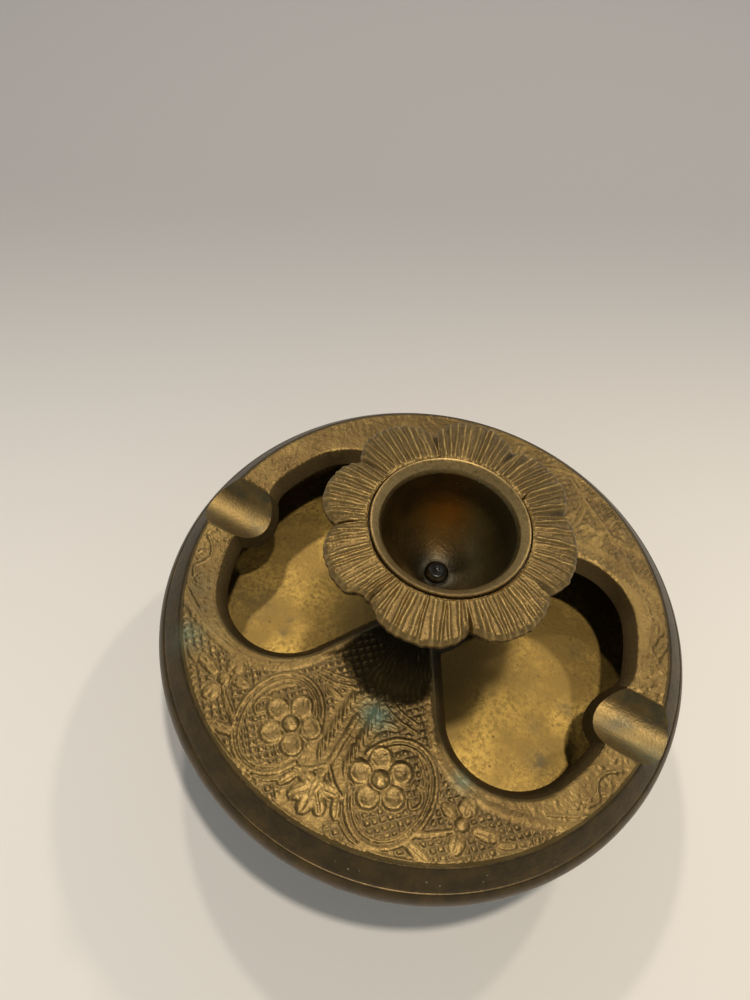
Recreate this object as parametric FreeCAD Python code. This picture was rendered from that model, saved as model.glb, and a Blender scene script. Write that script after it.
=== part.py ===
import FreeCAD, Part
import math
import os

os.makedirs("parts", exist_ok=True)

# Covered brass incense burner: a footed bowl, a pierced lid with stick rests, and a lotus cup on a stem.
# Millimetres. The origin is on the floor at the middle of the foot. Z is up, the stick rests lie along X.

# Rim and height
rim_radius = 55.0
rim_height = 30.5
seam_radius = 53.7
seam_height = 33.8
lid_edge_radius = 50.2
lid_top = 38.0
lid_thickness = 3.0
edge_round = 0.6

# Bowl
bowl_floor = 21.3
bowl_wall = 2.8
mouth_radius = 50.6
floor_corner = 3.5

# Foot ring under the bowl
foot_radius = 37.0
foot_edge = 1.8
foot_waist_radius = 32.5
foot_top_radius = 36.0
foot_bore_radius = 28.5

# Lid spigot that drops into the bowl's mouth
spigot_clearance = 0.4
spigot_width = 2.4
spigot_depth = 2.6

# Lid openings, in plan
opening_radius = 43.5
opening_far_angle = 56.5
opening_near_angle = 58.8
opening_corner = 15.0
opening_inner_radius = 8.5
opening_inner_corner = 3.0
opening_slope = 2.2
cutter_overrun = 0.3

# Stick rests: round grooves along X whose inner ends push a blunt tongue into each opening.
# The casting sets both a little towards -Y of the middle.
rest_offset = -2.2
tongue_radius = 30.0
tongue_tip = 41.7
tongue_fillet = 6.0
groove_radius = 7.4
groove_depth = 3.8
groove_wall = 2.0

# Stem
stem_base_radius = 8.0
stem_base_height = 1.6
stem_waist_radius = 5.6
stem_top_radius = 8.6

# Lotus flower
flower_base = 46.0
flower_base_radius = 8.8
petal_count = 8
petal_phase = 11.5
petal_radius = 8.0
petal_reach = 23.2
petal_top = 67.6
petal_droop = 1.0
petal_edge = 1.6
petal_crown = 0.2
throat_radius = 15.3
throat_height = 58.3
liner_gap = 0.3

# Cup liner
lip_radius = 14.14
lip_top = 68.0
lip_height = 1.5
cup_radius = 11.95
cup_mouth = 66.3
cup_centre = 61.0
cup_wall = 1.25
cup_floor = 49.4
cup_floor_thickness = 0.8

# Centre screw, nut and washer
screw_radius = 2.0
screw_hole_radius = 2.15
screw_head_radius = 2.6
screw_head_height = 1.5
screw_head_side = 0.5
screw_head_shoulder = (2.1, 1.15)
screw_head_flat = 1.0
nut_flats = 7.0
nut_height = 3.2
nut_bore_radius = 2.02
washer_radius = 6.0
washer_thickness = 0.9
screw_overhang = 1.2

# Heights that follow
spigot_radius = mouth_radius - spigot_clearance
lid_under = lid_top - lid_thickness
bowl_under = bowl_floor - bowl_wall
belly_round = rim_height - bowl_under
washer_under = lid_under - washer_thickness
nut_under = washer_under - nut_height
screw_end = nut_under - screw_overhang
groove_axis = lid_top - groove_depth + groove_radius
tongue_centre = (tongue_tip + tongue_radius, rest_offset)
trough_depth = groove_depth + groove_wall
trough_reach = opening_slope / lid_thickness * trough_depth
cup_seat = cup_floor - cup_floor_thickness


def vec(point):
    """A point of a turned profile, given as radius and height."""
    return FreeCAD.Vector(point[0], 0, point[1])


def line(a, b):
    return Part.LineSegment(vec(a), vec(b)).toShape()


def arc(a, middle, b):
    return Part.Arc(vec(a), vec(middle), vec(b)).toShape()


def on_circle(centre, radius, degrees):
    angle = math.radians(degrees)
    return (centre[0] + radius * math.cos(angle), centre[1] + radius * math.sin(angle))


def angle_to(centre, point):
    return math.degrees(math.atan2(point[1] - centre[1], point[0] - centre[0]))


def arc_about(centre, radius, start, end):
    """An arc of a turned profile about a centre, from one angle to another in degrees."""
    ends = [on_circle(centre, radius, a) for a in (start, (start + end) / 2, end)]
    return arc(*ends)


def turned(edges):
    """A solid of revolution about Z."""
    face = Part.Face(Part.Wire(edges))
    return face.revolve(FreeCAD.Vector(0, 0, 0), FreeCAD.Vector(0, 0, 1), 360)


def disc(radius, low, high):
    return Part.makeCylinder(radius, high - low, FreeCAD.Vector(0, 0, low))


def ring(outer, inner, low, high):
    return disc(outer, low, high).cut(disc(inner, low, high))


def save(shape, node):
    solid = shape.Solids[0] if len(shape.Solids) == 1 else shape
    solid.exportStep("parts/" + node + ".step")
    print(node, "solids", len(shape.Solids), "valid", shape.isValid(), "volume", round(shape.Volume, 1))


def plan_arc(centre, radius, start, end, height):
    """An arc seen in plan, at one height, from one angle to another in degrees."""
    places = [on_circle(centre, radius, a) for a in (start, (start + end) / 2, end)]
    return Part.Arc(*[FreeCAD.Vector(x, y, height) for x, y in places]).toShape()


def nook_centre(tongue):
    """Centre of the fillet between the tongue's far side and the opening's outer arc."""
    reach = opening_radius - tongue_fillet
    span = tongue_radius + tongue_fillet
    apart = math.hypot(*tongue)
    along = (reach ** 2 - span ** 2 + apart ** 2) / (2 * apart)
    turn = math.degrees(math.acos(along / reach))
    return on_circle((0, 0), reach, angle_to((0, 0), tongue) + turn)


def half_outline(tongue, half_angle, inset, height):
    """The far half of the +X opening's outline as tangent arcs, and the angles where the halves join."""
    nook = nook_centre(tongue)
    nook_angle = angle_to((0, 0), nook)
    tongue_angle = angle_to(tongue, nook)
    corner_reach = opening_radius - opening_corner
    corner_angle = half_angle - math.degrees(math.asin(opening_corner / corner_reach))
    corner = on_circle((0, 0), corner_reach, corner_angle)
    end_reach = opening_inner_radius + opening_inner_corner
    end_angle = half_angle - math.degrees(math.asin(opening_inner_corner / end_reach))
    end = on_circle((0, 0), end_reach, end_angle)
    side = half_angle + 90
    edges = [
        plan_arc(nook, tongue_fillet - inset, tongue_angle - 180, nook_angle, height),
        plan_arc((0, 0), opening_radius - inset, nook_angle, corner_angle, height),
        plan_arc(corner, opening_corner - inset, corner_angle, side, height),
        plan_arc(end, opening_inner_corner - inset, side, end_angle + 180, height),
    ]
    straight = Part.LineSegment(edges[2].lastVertex().Point, edges[3].firstVertex().Point).toShape()
    return edges + [straight], tongue_angle, end_angle


def opening_wire(inset, height):
    """Outline of the opening on the +X side, moved inwards by inset."""
    tongue = tongue_centre
    far, far_tongue, far_end = half_outline(tongue, opening_far_angle, inset, height)
    mirrored = (tongue[0], -tongue[1])
    near, near_tongue, near_end = half_outline(mirrored, opening_near_angle, inset, height)
    near = [edge.mirror(FreeCAD.Vector(0, 0, 0), FreeCAD.Vector(0, 1, 0)) for edge in near]
    tip = plan_arc(tongue, tongue_radius + inset, far_tongue, 360 - near_tongue, height)
    hub = plan_arc((0, 0), opening_inner_radius + inset, -near_end, far_end, height)
    return Part.Wire(Part.__sortEdges__(far + near + [tip, hub]))


def other_side(shape):
    return shape.mirror(FreeCAD.Vector(0, 0, 0), FreeCAD.Vector(1, 0, 0))


def rim_arc_centre():
    """Centre of the lip's round, which is upright at the widest point and meets the seam."""
    rise = seam_height - rim_height
    inset = rim_radius - seam_radius
    radius = (inset ** 2 + rise ** 2) / (2 * inset)
    return (rim_radius - radius, rim_height), radius


def make_bowl():
    belly = (rim_radius - belly_round, rim_height)
    lip, lip_round = rim_arc_centre()
    floor_edge = (mouth_radius - floor_corner, bowl_floor + floor_corner)
    edges = [
        line((0, bowl_under), (belly[0], bowl_under)),
        arc_about(belly, belly_round, -90, 0),
        arc_about(lip, lip_round, 0, angle_to(lip, (seam_radius, seam_height))),
        line((seam_radius, seam_height), (mouth_radius, seam_height)),
        line((mouth_radius, seam_height), (mouth_radius, floor_edge[1])),
        arc_about(floor_edge, floor_corner, 0, -90),
        line((floor_edge[0], bowl_floor), (0, bowl_floor)),
        line((0, bowl_floor), (0, bowl_under)),
    ]
    return turned(edges)


def make_foot_ring():
    waist = (foot_waist_radius, (foot_edge + bowl_under) / 2)
    edges = [
        line((foot_bore_radius, 0), (foot_radius, 0)),
        line((foot_radius, 0), (foot_radius, foot_edge)),
        arc((foot_radius, foot_edge), waist, (foot_top_radius, bowl_under)),
        line((foot_top_radius, bowl_under), (foot_bore_radius, bowl_under)),
        line((foot_bore_radius, bowl_under), (foot_bore_radius, 0)),
    ]
    return turned(edges)


def lid_blank():
    flank = math.atan2(lid_top - seam_height, lid_edge_radius - seam_radius)
    slope = (math.cos(flank), math.sin(flank))
    trim = edge_round * math.tan((math.pi - flank) / 2)
    corner = (lid_edge_radius, lid_top)
    flank_end = (corner[0] - slope[0] * trim, corner[1] - slope[1] * trim)
    top_end = (corner[0] - trim, corner[1])
    centre = (top_end[0], lid_top - edge_round)
    start = angle_to(centre, flank_end)
    spigot_inner = spigot_radius - spigot_width
    spigot_low = seam_height - spigot_depth
    edges = [
        line((0, lid_under), (spigot_inner, lid_under)),
        line((spigot_inner, lid_under), (spigot_inner, spigot_low)),
        line((spigot_inner, spigot_low), (spigot_radius, spigot_low)),
        line((spigot_radius, spigot_low), (spigot_radius, seam_height)),
        line((spigot_radius, seam_height), (seam_radius, seam_height)),
        line((seam_radius, seam_height), flank_end),
        arc_about(centre, edge_round, start, 90),
        line(top_end, (0, lid_top)),
        line((0, lid_top), (0, lid_under)),
    ]
    return turned(edges)


def opening_cutter():
    """Tapered plug that cuts one opening, with its wall carried on past both faces of the lid."""
    rate = opening_slope / lid_thickness
    wires = []
    for height in (lid_under - cutter_overrun, lid_top + cutter_overrun):
        inset = (lid_top - height) * rate
        wires.append(opening_wire(inset, height))
    return Part.makeLoft(wires, True, True)


def x_cylinder(radius, start, end):
    """A cylinder on the axis of the stick rest on the +X side."""
    base = FreeCAD.Vector(start, rest_offset, groove_axis)
    return Part.makeCylinder(radius, end - start, base, FreeCAD.Vector(1, 0, 0))


def rest_trough():
    """Material under one stick rest, hung below the lid between its tongue and the spigot."""
    low = lid_top - trough_depth
    reach = tongue_radius + trough_reach
    tongue = Part.makeCone(reach, tongue_radius, trough_depth, FreeCAD.Vector(*tongue_centre, low))
    shell = x_cylinder(groove_radius + groove_wall, tongue_tip - trough_reach, lid_edge_radius)
    return tongue.common(shell).common(disc(spigot_radius, low, lid_under))


def rest_groove():
    return x_cylinder(groove_radius, tongue_tip - trough_reach, rim_radius)


def make_lid():
    cutter = opening_cutter()
    trough = rest_trough()
    groove = rest_groove()
    lid = lid_blank()
    lid = lid.cut(cutter).cut(other_side(cutter))
    lid = lid.fuse(trough).fuse(other_side(trough))
    lid = lid.cut(groove).cut(other_side(groove))
    lid = lid.cut(disc(screw_hole_radius, lid_under, lid_top))
    return lid.removeSplitter()


def make_lid_washer():
    return ring(washer_radius, screw_hole_radius, washer_under, lid_under)


def make_hex_nut():
    corner = nut_flats / math.sqrt(3)
    corners = [FreeCAD.Vector(*on_circle((0, 0), corner, 60 * side), nut_under) for side in range(6)]
    hexagon = Part.Face(Part.makePolygon(corners + corners[:1]))
    nut = hexagon.extrude(FreeCAD.Vector(0, 0, nut_height))
    return nut.cut(disc(nut_bore_radius, nut_under, washer_under))


def make_stem():
    base_top = lid_top + stem_base_height
    waist = (stem_waist_radius, (base_top + flower_base) / 2)
    edges = [
        line((screw_hole_radius, lid_top), (stem_base_radius, lid_top)),
        line((stem_base_radius, lid_top), (stem_base_radius, base_top)),
        arc((stem_base_radius, base_top), waist, (stem_top_radius, flower_base)),
        line((stem_top_radius, flower_base), (screw_hole_radius, flower_base)),
        line((screw_hole_radius, flower_base), (screw_hole_radius, lid_top)),
    ]
    return turned(edges)


def petal_outline():
    """Eight round petals in plan, each an arc that runs from notch to notch."""
    step = 360 / petal_count
    centre_radius = petal_reach - petal_radius
    half_gap = centre_radius * math.sin(math.radians(step / 2))
    notch = centre_radius * math.cos(math.radians(step / 2)) + math.sqrt(petal_radius ** 2 - half_gap ** 2)
    edges = []
    for petal in range(petal_count):
        middle = petal_phase + petal * step
        places = [on_circle((0, 0), notch, middle - step / 2), on_circle((0, 0), petal_reach, middle),
                  on_circle((0, 0), notch, middle + step / 2)]
        edges.append(Part.Arc(*[FreeCAD.Vector(x, y, flower_base) for x, y in places]).toShape())
    return Part.Wire(edges)


def make_lotus_flower():
    pocket = lip_radius + liner_gap
    cavity = cup_radius + cup_wall + liner_gap
    shelf = lip_top - lip_height - liner_gap
    bottom = (math.sqrt(cavity ** 2 - (cup_centre - cup_seat) ** 2), cup_seat)
    tip_top = (petal_reach, petal_top - petal_droop)
    tip_under = (petal_reach, tip_top[1] - petal_edge)
    crown = ((pocket + petal_reach) / 2, petal_top + petal_crown)
    edges = [
        line((screw_hole_radius, flower_base), (flower_base_radius, flower_base)),
        arc((flower_base_radius, flower_base), (throat_radius, throat_height), tip_under),
        line(tip_under, tip_top),
        arc(tip_top, crown, (pocket, petal_top)),
        line((pocket, petal_top), (pocket, shelf)),
        line((pocket, shelf), (cavity, shelf)),
        line((cavity, shelf), (cavity, cup_centre)),
        arc_about((0, cup_centre), cavity, 0, angle_to((0, cup_centre), bottom)),
        line(bottom, (screw_hole_radius, cup_seat)),
        line((screw_hole_radius, cup_seat), (screw_hole_radius, flower_base)),
    ]
    prism = Part.Face(petal_outline()).extrude(FreeCAD.Vector(0, 0, lip_top - flower_base))
    return turned(edges).common(prism).removeSplitter()


def make_cup_liner():
    outer = cup_radius + cup_wall
    shelf = lip_top - lip_height
    seat_radius = math.sqrt(outer ** 2 - (cup_centre - cup_seat) ** 2)
    floor_radius = math.sqrt(cup_radius ** 2 - (cup_centre - cup_floor) ** 2)
    centre = (0, cup_centre)
    edges = [
        line((screw_hole_radius, cup_seat), (seat_radius, cup_seat)),
        arc_about(centre, outer, angle_to(centre, (seat_radius, cup_seat)), 0),
        line((outer, cup_centre), (outer, shelf)),
        line((outer, shelf), (lip_radius, shelf)),
        line((lip_radius, shelf), (lip_radius, lip_top)),
        line((lip_radius, lip_top), (cup_radius, cup_mouth)),
        line((cup_radius, cup_mouth), (cup_radius, cup_centre)),
        arc_about(centre, cup_radius, 0, angle_to(centre, (floor_radius, cup_floor))),
        line((floor_radius, cup_floor), (screw_hole_radius, cup_floor)),
        line((screw_hole_radius, cup_floor), (screw_hole_radius, cup_seat)),
    ]
    return turned(edges)


def make_centre_screw():
    head_top = cup_floor + screw_head_height
    side_top = cup_floor + screw_head_side
    shoulder = (screw_head_shoulder[0], cup_floor + screw_head_shoulder[1])
    edges = [
        line((0, screw_end), (screw_radius, screw_end)),
        line((screw_radius, screw_end), (screw_radius, cup_floor)),
        line((screw_radius, cup_floor), (screw_head_radius, cup_floor)),
        line((screw_head_radius, cup_floor), (screw_head_radius, side_top)),
        arc((screw_head_radius, side_top), shoulder, (screw_head_flat, head_top)),
        line((screw_head_flat, head_top), (0, head_top)),
        line((0, head_top), (0, screw_end)),
    ]
    return turned(edges)


save(make_bowl(), "bowl")
save(make_foot_ring(), "foot_ring")
save(make_lid(), "lid")
save(make_stem(), "stem")
save(make_lotus_flower(), "lotus_flower")
save(make_cup_liner(), "cup_liner")
save(make_centre_screw(), "centre_screw")
save(make_lid_washer(), "lid_washer")
save(make_hex_nut(), "hex_nut")
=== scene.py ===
import bpy
import bmesh
import math
import numpy as np
from mathutils import Matrix, Vector
from mathutils.geometry import delaunay_2d_cdt
from mathutils.kdtree import KDTree


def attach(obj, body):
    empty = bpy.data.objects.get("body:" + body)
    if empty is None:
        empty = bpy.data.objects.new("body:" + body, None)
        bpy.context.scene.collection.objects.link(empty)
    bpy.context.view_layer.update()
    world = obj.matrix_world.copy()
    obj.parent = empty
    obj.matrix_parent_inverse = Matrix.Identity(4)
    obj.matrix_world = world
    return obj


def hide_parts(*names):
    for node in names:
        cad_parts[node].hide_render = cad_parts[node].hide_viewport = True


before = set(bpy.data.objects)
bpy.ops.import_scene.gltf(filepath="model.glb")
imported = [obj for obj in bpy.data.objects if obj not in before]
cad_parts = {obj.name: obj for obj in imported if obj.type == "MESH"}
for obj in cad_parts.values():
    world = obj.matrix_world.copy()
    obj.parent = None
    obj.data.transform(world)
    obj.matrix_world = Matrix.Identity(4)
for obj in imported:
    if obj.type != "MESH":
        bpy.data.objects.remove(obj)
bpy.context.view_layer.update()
mm = 0.001
print("frame loaded:", ", ".join(sorted(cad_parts)))


def makeActive(piece):
    if bpy.context.object and bpy.context.object.mode != "OBJECT":
        bpy.ops.object.mode_set(mode="OBJECT")
    bpy.ops.object.select_all(action="DESELECT")
    piece.select_set(True)
    bpy.context.view_layer.objects.active = piece


def meshPiece(name, points, faces, edges=()):
    # points are in millimetres
    mesh = bpy.data.meshes.new(name)
    mesh.from_pydata([Vector(p) * mm for p in points], edges, faces)
    piece = bpy.data.objects.new(name, mesh)
    bpy.context.scene.collection.objects.link(piece)
    return piece


def tidyMesh(piece, sharpAngle=35, merge=0.004):
    makeActive(piece)
    bpy.ops.object.mode_set(mode="EDIT")
    bpy.ops.mesh.select_all(action="SELECT")
    if merge:
        bpy.ops.mesh.remove_doubles(threshold=merge * mm)
    bpy.ops.mesh.normals_make_consistent(inside=False)
    bpy.ops.object.mode_set(mode="OBJECT")
    bpy.ops.object.shade_smooth_by_angle(angle=math.radians(sharpAngle))


def turnProfile(name, profile, steps=192, sharpAngle=35):
    # a closed profile, or one that starts and ends on the axis, spun round Z
    links = [(i, i + 1) for i in range(len(profile) - 1)]
    if profile[0][0] > 0:
        links.append((len(profile) - 1, 0))
    piece = meshPiece(name, [(r, 0, z) for r, z in profile], [], links)
    makeActive(piece)
    bpy.ops.object.mode_set(mode="EDIT")
    bpy.ops.mesh.select_all(action="SELECT")
    bpy.ops.mesh.spin(steps=steps, angle=2 * math.pi, center=(0, 0, 0), axis=(0, 0, 1))
    tidyMesh(piece, sharpAngle)
    return piece


def arcPoints(centre, radius, start, end, steps):
    turns = np.radians(np.linspace(start, end, steps + 1))
    return [(centre[0] + radius * math.cos(t), centre[1] + radius * math.sin(t)) for t in turns]


def softLine(corners, steps=5):
    # corners are (radius, height, round): a round above zero becomes a smooth bend
    points = []
    for i, (r, z, bend) in enumerate(corners):
        here = Vector((r, z))
        if bend <= 0 or i in (0, len(corners) - 1):
            points.append((r, z))
            continue
        before = Vector(corners[i - 1][:2]) - here
        after = Vector(corners[i + 1][:2]) - here
        half = before.angle(after) / 2
        reach = min(bend / math.tan(half), before.length * 0.49, after.length * 0.49)
        a = here + before.normalized() * reach
        b = here + after.normalized() * reach
        for t in np.linspace(0, 1, steps + 1):
            p = a * (1 - t) ** 2 + here * 2 * t * (1 - t) + b * t ** 2
            points.append((p.x, p.y))
    return points


def smooth(value, low, high):
    # eases from 0 at low to 1 at high
    t = np.clip((value - low) / (high - low), 0, 1)
    return t * t * (3 - 2 * t)


def applyModifier(piece, kind, **settings):
    makeActive(piece)
    modifier = piece.modifiers.new(kind.title(), kind)
    for key, value in settings.items():
        setattr(modifier, key, value)
    bpy.ops.object.modifier_apply(modifier=modifier.name)


def combine(piece, tool, operation):
    applyModifier(piece, "BOOLEAN", object=tool, operation=operation, solver="EXACT")
    bpy.data.objects.remove(tool)


def setPaint(piece, name, values):
    # one number for each vertex, which the finish reads
    attribute = piece.data.attributes.get(name) or piece.data.attributes.new(name, "FLOAT", "POINT")
    attribute.data.foreach_set("value", np.asarray(values, np.float32))


def setFacePaint(piece, name, values):
    # one number for each face, with a hard edge between faces
    attribute = piece.data.attributes.get(name) or piece.data.attributes.new(name, "FLOAT", "CORNER")
    sizes = np.empty(len(piece.data.polygons), int)
    piece.data.polygons.foreach_get("loop_total", sizes)
    attribute.data.foreach_set("value", np.repeat(np.asarray(values, np.float32), sizes))


def placesOf(items, key="co"):
    # where vertices are, or the middles of faces, in millimetres
    flat = np.empty(len(items) * 3)
    items.foreach_get(key, flat)
    return flat.reshape(-1, 3) / mm


def gapFinder(points):
    # gives a function for the distance, seen from above, to the nearest of the points
    tree = KDTree(len(points))
    for i, p in enumerate(points):
        tree.insert((p[0], p[1], 0), i)
    tree.balance()
    return lambda x, y: np.array([tree.find((a, b, 0))[2] for a, b in zip(x, y)])


# Shader maths: a wrapped socket takes part in Python expressions
class Link:
    def __init__(self, finish, socket):
        self.finish = finish
        self.socket = socket

    def math(self, operation, *others):
        return self.finish.node("ShaderNodeMath", {"operation": operation}, [self, *others])

    def __add__(self, other):
        return self.math("ADD", other)

    __radd__ = __add__

    def __sub__(self, other):
        return self.math("SUBTRACT", other)

    def __rsub__(self, other):
        return self.finish.node("ShaderNodeMath", {"operation": "SUBTRACT"}, [other, self])

    def __mul__(self, other):
        return self.math("MULTIPLY", other)

    __rmul__ = __mul__

    def ramp(self, low, high):
        values = {"Value": self, "From Min": low, "From Max": high}
        return self.finish.node("ShaderNodeMapRange", {"interpolation_type": "SMOOTHSTEP"}, values)


class Finish:
    def __init__(self, name, owner=None, shader="Principled BSDF"):
        self.material = owner or bpy.data.materials.new(name)
        self.material.use_nodes = True
        self.tree = self.material.node_tree
        self.shader = self.tree.nodes[shader]

    def node(self, kind, settings, inputs, output=0):
        made = self.tree.nodes.new(kind)
        for key, value in settings.items():
            setattr(made, key, value)
        pairs = inputs.items() if isinstance(inputs, dict) else enumerate(inputs)
        for key, value in pairs:
            if isinstance(value, Link):
                self.tree.links.new(value.socket, made.inputs[key])
            else:
                made.inputs[key].default_value = value
        return Link(self, made.outputs[output])

    def place(self):
        return self.node("ShaderNodeTexCoord", {}, {}, "Object")

    def paint(self, name):
        return self.node("ShaderNodeAttribute", {"attribute_name": name}, {}, "Fac")

    def noise(self, size, detail=3.0, roughness=0.55, stretch=(1, 1, 1)):
        # size is the grain in millimetres
        scale = tuple(s / (size * mm) for s in stretch)
        spot = self.node("ShaderNodeMapping", {}, {"Vector": self.place(), "Scale": scale})
        values = {"Vector": spot, "Scale": 1.0, "Detail": detail, "Roughness": roughness}
        return self.node("ShaderNodeTexNoise", {}, values, "Fac")

    def specks(self, size):
        # distance to the nearest of scattered points, in cells of that size
        values = {"Vector": self.place(), "Scale": 1 / (size * mm), "Randomness": 1.0}
        return self.node("ShaderNodeTexVoronoi", {"feature": "F1"}, values, "Distance")

    def blend(self, factor, first, second):
        # two colours, each a tuple or a link: a Mix node takes them at sockets 6 and 7
        settings = {"data_type": "RGBA", "blend_type": "MIX", "clamp_factor": True}
        tones = [(*tone, 1.0) if isinstance(tone, tuple) else tone for tone in (first, second)]
        return self.node("ShaderNodeMix", settings, {0: factor, 6: tones[0], 7: tones[1]}, 2)

    def join(self, name, value):
        if isinstance(value, Link):
            self.tree.links.new(value.socket, self.shader.inputs[name])
        else:
            self.shader.inputs[name].default_value = value

    def bump(self, height, depth):
        # height runs from 0 to 1 over that depth in millimetres
        values = {"Height": height, "Strength": 1.0, "Distance": depth * mm}
        self.join("Normal", self.node("ShaderNodeBump", {}, values))

    def dress(self, piece):
        piece.data.materials.clear()
        piece.data.materials.append(self.material)


# Brass tones, as linear colours
brass = {
    "bright": (0.35, 0.232, 0.08),
    "gold": (0.22, 0.14, 0.046),
    "brown": (0.13, 0.081, 0.027),
    "chased": (0.262, 0.175, 0.06),
    "ground": (0.205, 0.133, 0.043),
    # the tarnish tone also paints the shade in the rests
    "tarnishAndShade": (0.092, 0.072, 0.036),
    "grey": (0.175, 0.138, 0.072),
    "lip": (0.31, 0.208, 0.082),
    "olive": (0.19, 0.17, 0.082),
    "dark": (0.055, 0.04, 0.021),
    "wall": (0.105, 0.064, 0.021),
    "floor": (0.47, 0.3, 0.07),
    "floorWorn": (0.23, 0.145, 0.038),
    # the smudge tone is for stains and for painted shade on the bowl's floor
    "smudgeAndShade": (0.085, 0.07, 0.04),
    # the dirt tone paints the shadow of the lotus and stem on the bowl's floor
    "dirtAndShade": (0.06, 0.04, 0.012),
    # the soot tone also paints the shade under the lotus on the lid
    "sootAndShade": (0.018, 0.017, 0.011),
    "amber": (0.36, 0.165, 0.022),
    "residue": (0.21, 0.20, 0.155),
    "steel": (0.04, 0.041, 0.038),
    "verdigris": (0.095, 0.16, 0.095),
    "dust": (0.42, 0.38, 0.31),
}


# Turned pieces: bowl, foot, stem, cup and screw
bowlShape = {
    "floor": 21.3, "under": 18.5, "mouth": 50.6, "corner": 3.5, "seamRadius": 53.7, "seam": 33.8,
    "rimRadius": 55.0, "rimHeight": 30.5, "edge": 0.45, "ringStep": 1.2, "lastRing": 43, "underRing": 20,
    "steps": 256,
}


def makeBowl(shape):
    rise = shape["seam"] - shape["rimHeight"]
    inset = shape["rimRadius"] - shape["seamRadius"]
    lipRound = (inset ** 2 + rise ** 2) / (2 * inset)
    lipCentre = (shape["rimRadius"] - lipRound, shape["rimHeight"])
    lipTop = math.degrees(math.asin(rise / lipRound))
    belly = shape["rimHeight"] - shape["under"]
    bellyCentre = (shape["rimRadius"] - belly, shape["rimHeight"])
    # close rings on the floor carry its stains and painted shadow
    floorRings = [(r, shape["floor"], 0) for r in np.arange(0, shape["lastRing"], shape["ringStep"])]
    inside = softLine(floorRings + [
        (shape["mouth"], shape["floor"], shape["corner"]),
        (shape["mouth"], shape["seam"], shape["edge"]),
        (shape["seamRadius"], shape["seam"], shape["edge"]),
        (*arcPoints(lipCentre, lipRound, lipTop, 0, 4)[1], 0),
    ])
    lip = arcPoints(lipCentre, lipRound, lipTop * 0.75, 0, 8)[1:]
    under = arcPoints(bellyCentre, belly, 0, -90, 24)[1:]
    bottom = [(shape["underRing"], shape["under"]), (0, shape["under"])]
    return turnProfile("bowl_body", inside + lip + under + bottom, shape["steps"])


footShape = {
    "radius": 37.0, "edge": 1.8, "waist": 32.5, "top": 36.0, "bore": 28.5, "height": 18.5, "round": 0.5,
    "hollow": 2.2, "steps": 192,
}


def makeFoot(shape):
    middle = (shape["edge"] + shape["height"]) / 2
    outer = []
    for t in np.linspace(-1, 1, 21):
        # a hollow curve between the spread foot and the collar under the bowl
        edge = shape["radius"] if t < 0 else shape["top"]
        radius = shape["waist"] + (edge - shape["waist"]) * abs(t) ** shape["hollow"]
        outer.append((radius, middle + t * (shape["height"] - shape["edge"]) / 2))
    base = softLine([
        (shape["bore"], shape["height"] / 2, 0),
        (shape["bore"], 0, shape["round"]),
        (shape["radius"], 0, shape["round"]),
        (shape["radius"], shape["edge"], 0),
    ])
    profile = base + outer[1:] + [(shape["bore"], shape["height"])]
    return turnProfile("foot_ring_body", profile, shape["steps"])


stemShape = {
    "bottom": 38.0, "base": 8.0, "collar": 1.6, "shoulder": 6.8, "waist": 5.6, "neck": 8.6, "top": 46.0,
    "bore": 2.15, "steps": 128,
}


def makeStem(shape):
    low = shape["bottom"] + shape["collar"]
    curve = []
    for t in np.linspace(-1, 1, 19):
        edge = shape["shoulder"] if t < 0 else shape["neck"]
        radius = shape["waist"] + (edge - shape["waist"]) * t * t
        curve.append((radius, low + (t + 1) / 2 * (shape["top"] - low)))
    collar = softLine([
        (shape["bore"], shape["bottom"], 0),
        (shape["base"], shape["bottom"], 0.2),
        (shape["base"], low, 0.6),
        (shape["shoulder"], low, 0),
    ])
    return turnProfile("lotus_stem", collar + curve[1:] + [(shape["bore"], shape["top"])], shape["steps"])


cupShape = {
    "lip": 14.14, "lipTop": 68.0, "lipHeight": 1.5, "mouthRadius": 11.95, "mouth": 66.3, "centre": 61.0,
    "wall": 1.25, "floor": 49.4, "seat": 48.6, "bore": 2.15, "steps": 160,
}


def makeCup(shape):
    outer = shape["mouthRadius"] + shape["wall"]
    shelf = shape["lipTop"] - shape["lipHeight"]
    seatAngle = -math.degrees(math.asin((shape["centre"] - shape["seat"]) / outer))
    floorAngle = -math.degrees(math.asin((shape["centre"] - shape["floor"]) / shape["mouthRadius"]))
    outside = arcPoints((0, shape["centre"]), outer, seatAngle, 0, 20)
    lip = softLine([
        (outer, shape["centre"], 0),
        (outer, shelf, 0.2),
        (shape["lip"], shelf, 0.3),
        (shape["lip"], shape["lipTop"], 0.45),
        (shape["mouthRadius"] + 0.5, shape["mouth"] + 0.35, 0.5),
        (shape["mouthRadius"], shape["mouth"] - 0.6, 0.4),
        (shape["mouthRadius"], shape["centre"], 0),
    ])
    inside = arcPoints((0, shape["centre"]), shape["mouthRadius"], 0, floorAngle, 28)
    profile = [(shape["bore"], shape["seat"])] + outside + lip[1:] + inside[1:]
    profile.append((shape["bore"], shape["floor"]))
    return turnProfile("cup_liner_shell", profile, shape["steps"])


screwShape = {
    "radius": 2.0, "head": 2.3, "headSide": 0.7, "crown": 1.5, "floor": 49.4, "rise": 1.5, "end": 29.7,
    "tip": 0.4, "dimple": 0.55, "dimpleDepth": 0.35, "steps": 64,
}


def makeScrew(shape):
    top = shape["floor"] + shape["rise"]
    head = softLine([
        (shape["radius"], shape["floor"], 0),
        (shape["head"], shape["floor"], 0.1),
        (shape["head"], shape["floor"] + shape["headSide"], 0.5),
        (shape["crown"], top, 0.6),
        (shape["dimple"], top - 0.05, 0.1),
        (0, top - shape["dimpleDepth"], 0),
    ])
    end, tip = shape["end"], shape["tip"]
    shank = [(0, end), (shape["radius"] - tip, end), (shape["radius"], end + tip)]
    return turnProfile("cup_screw", shank + head, shape["steps"])


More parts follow.
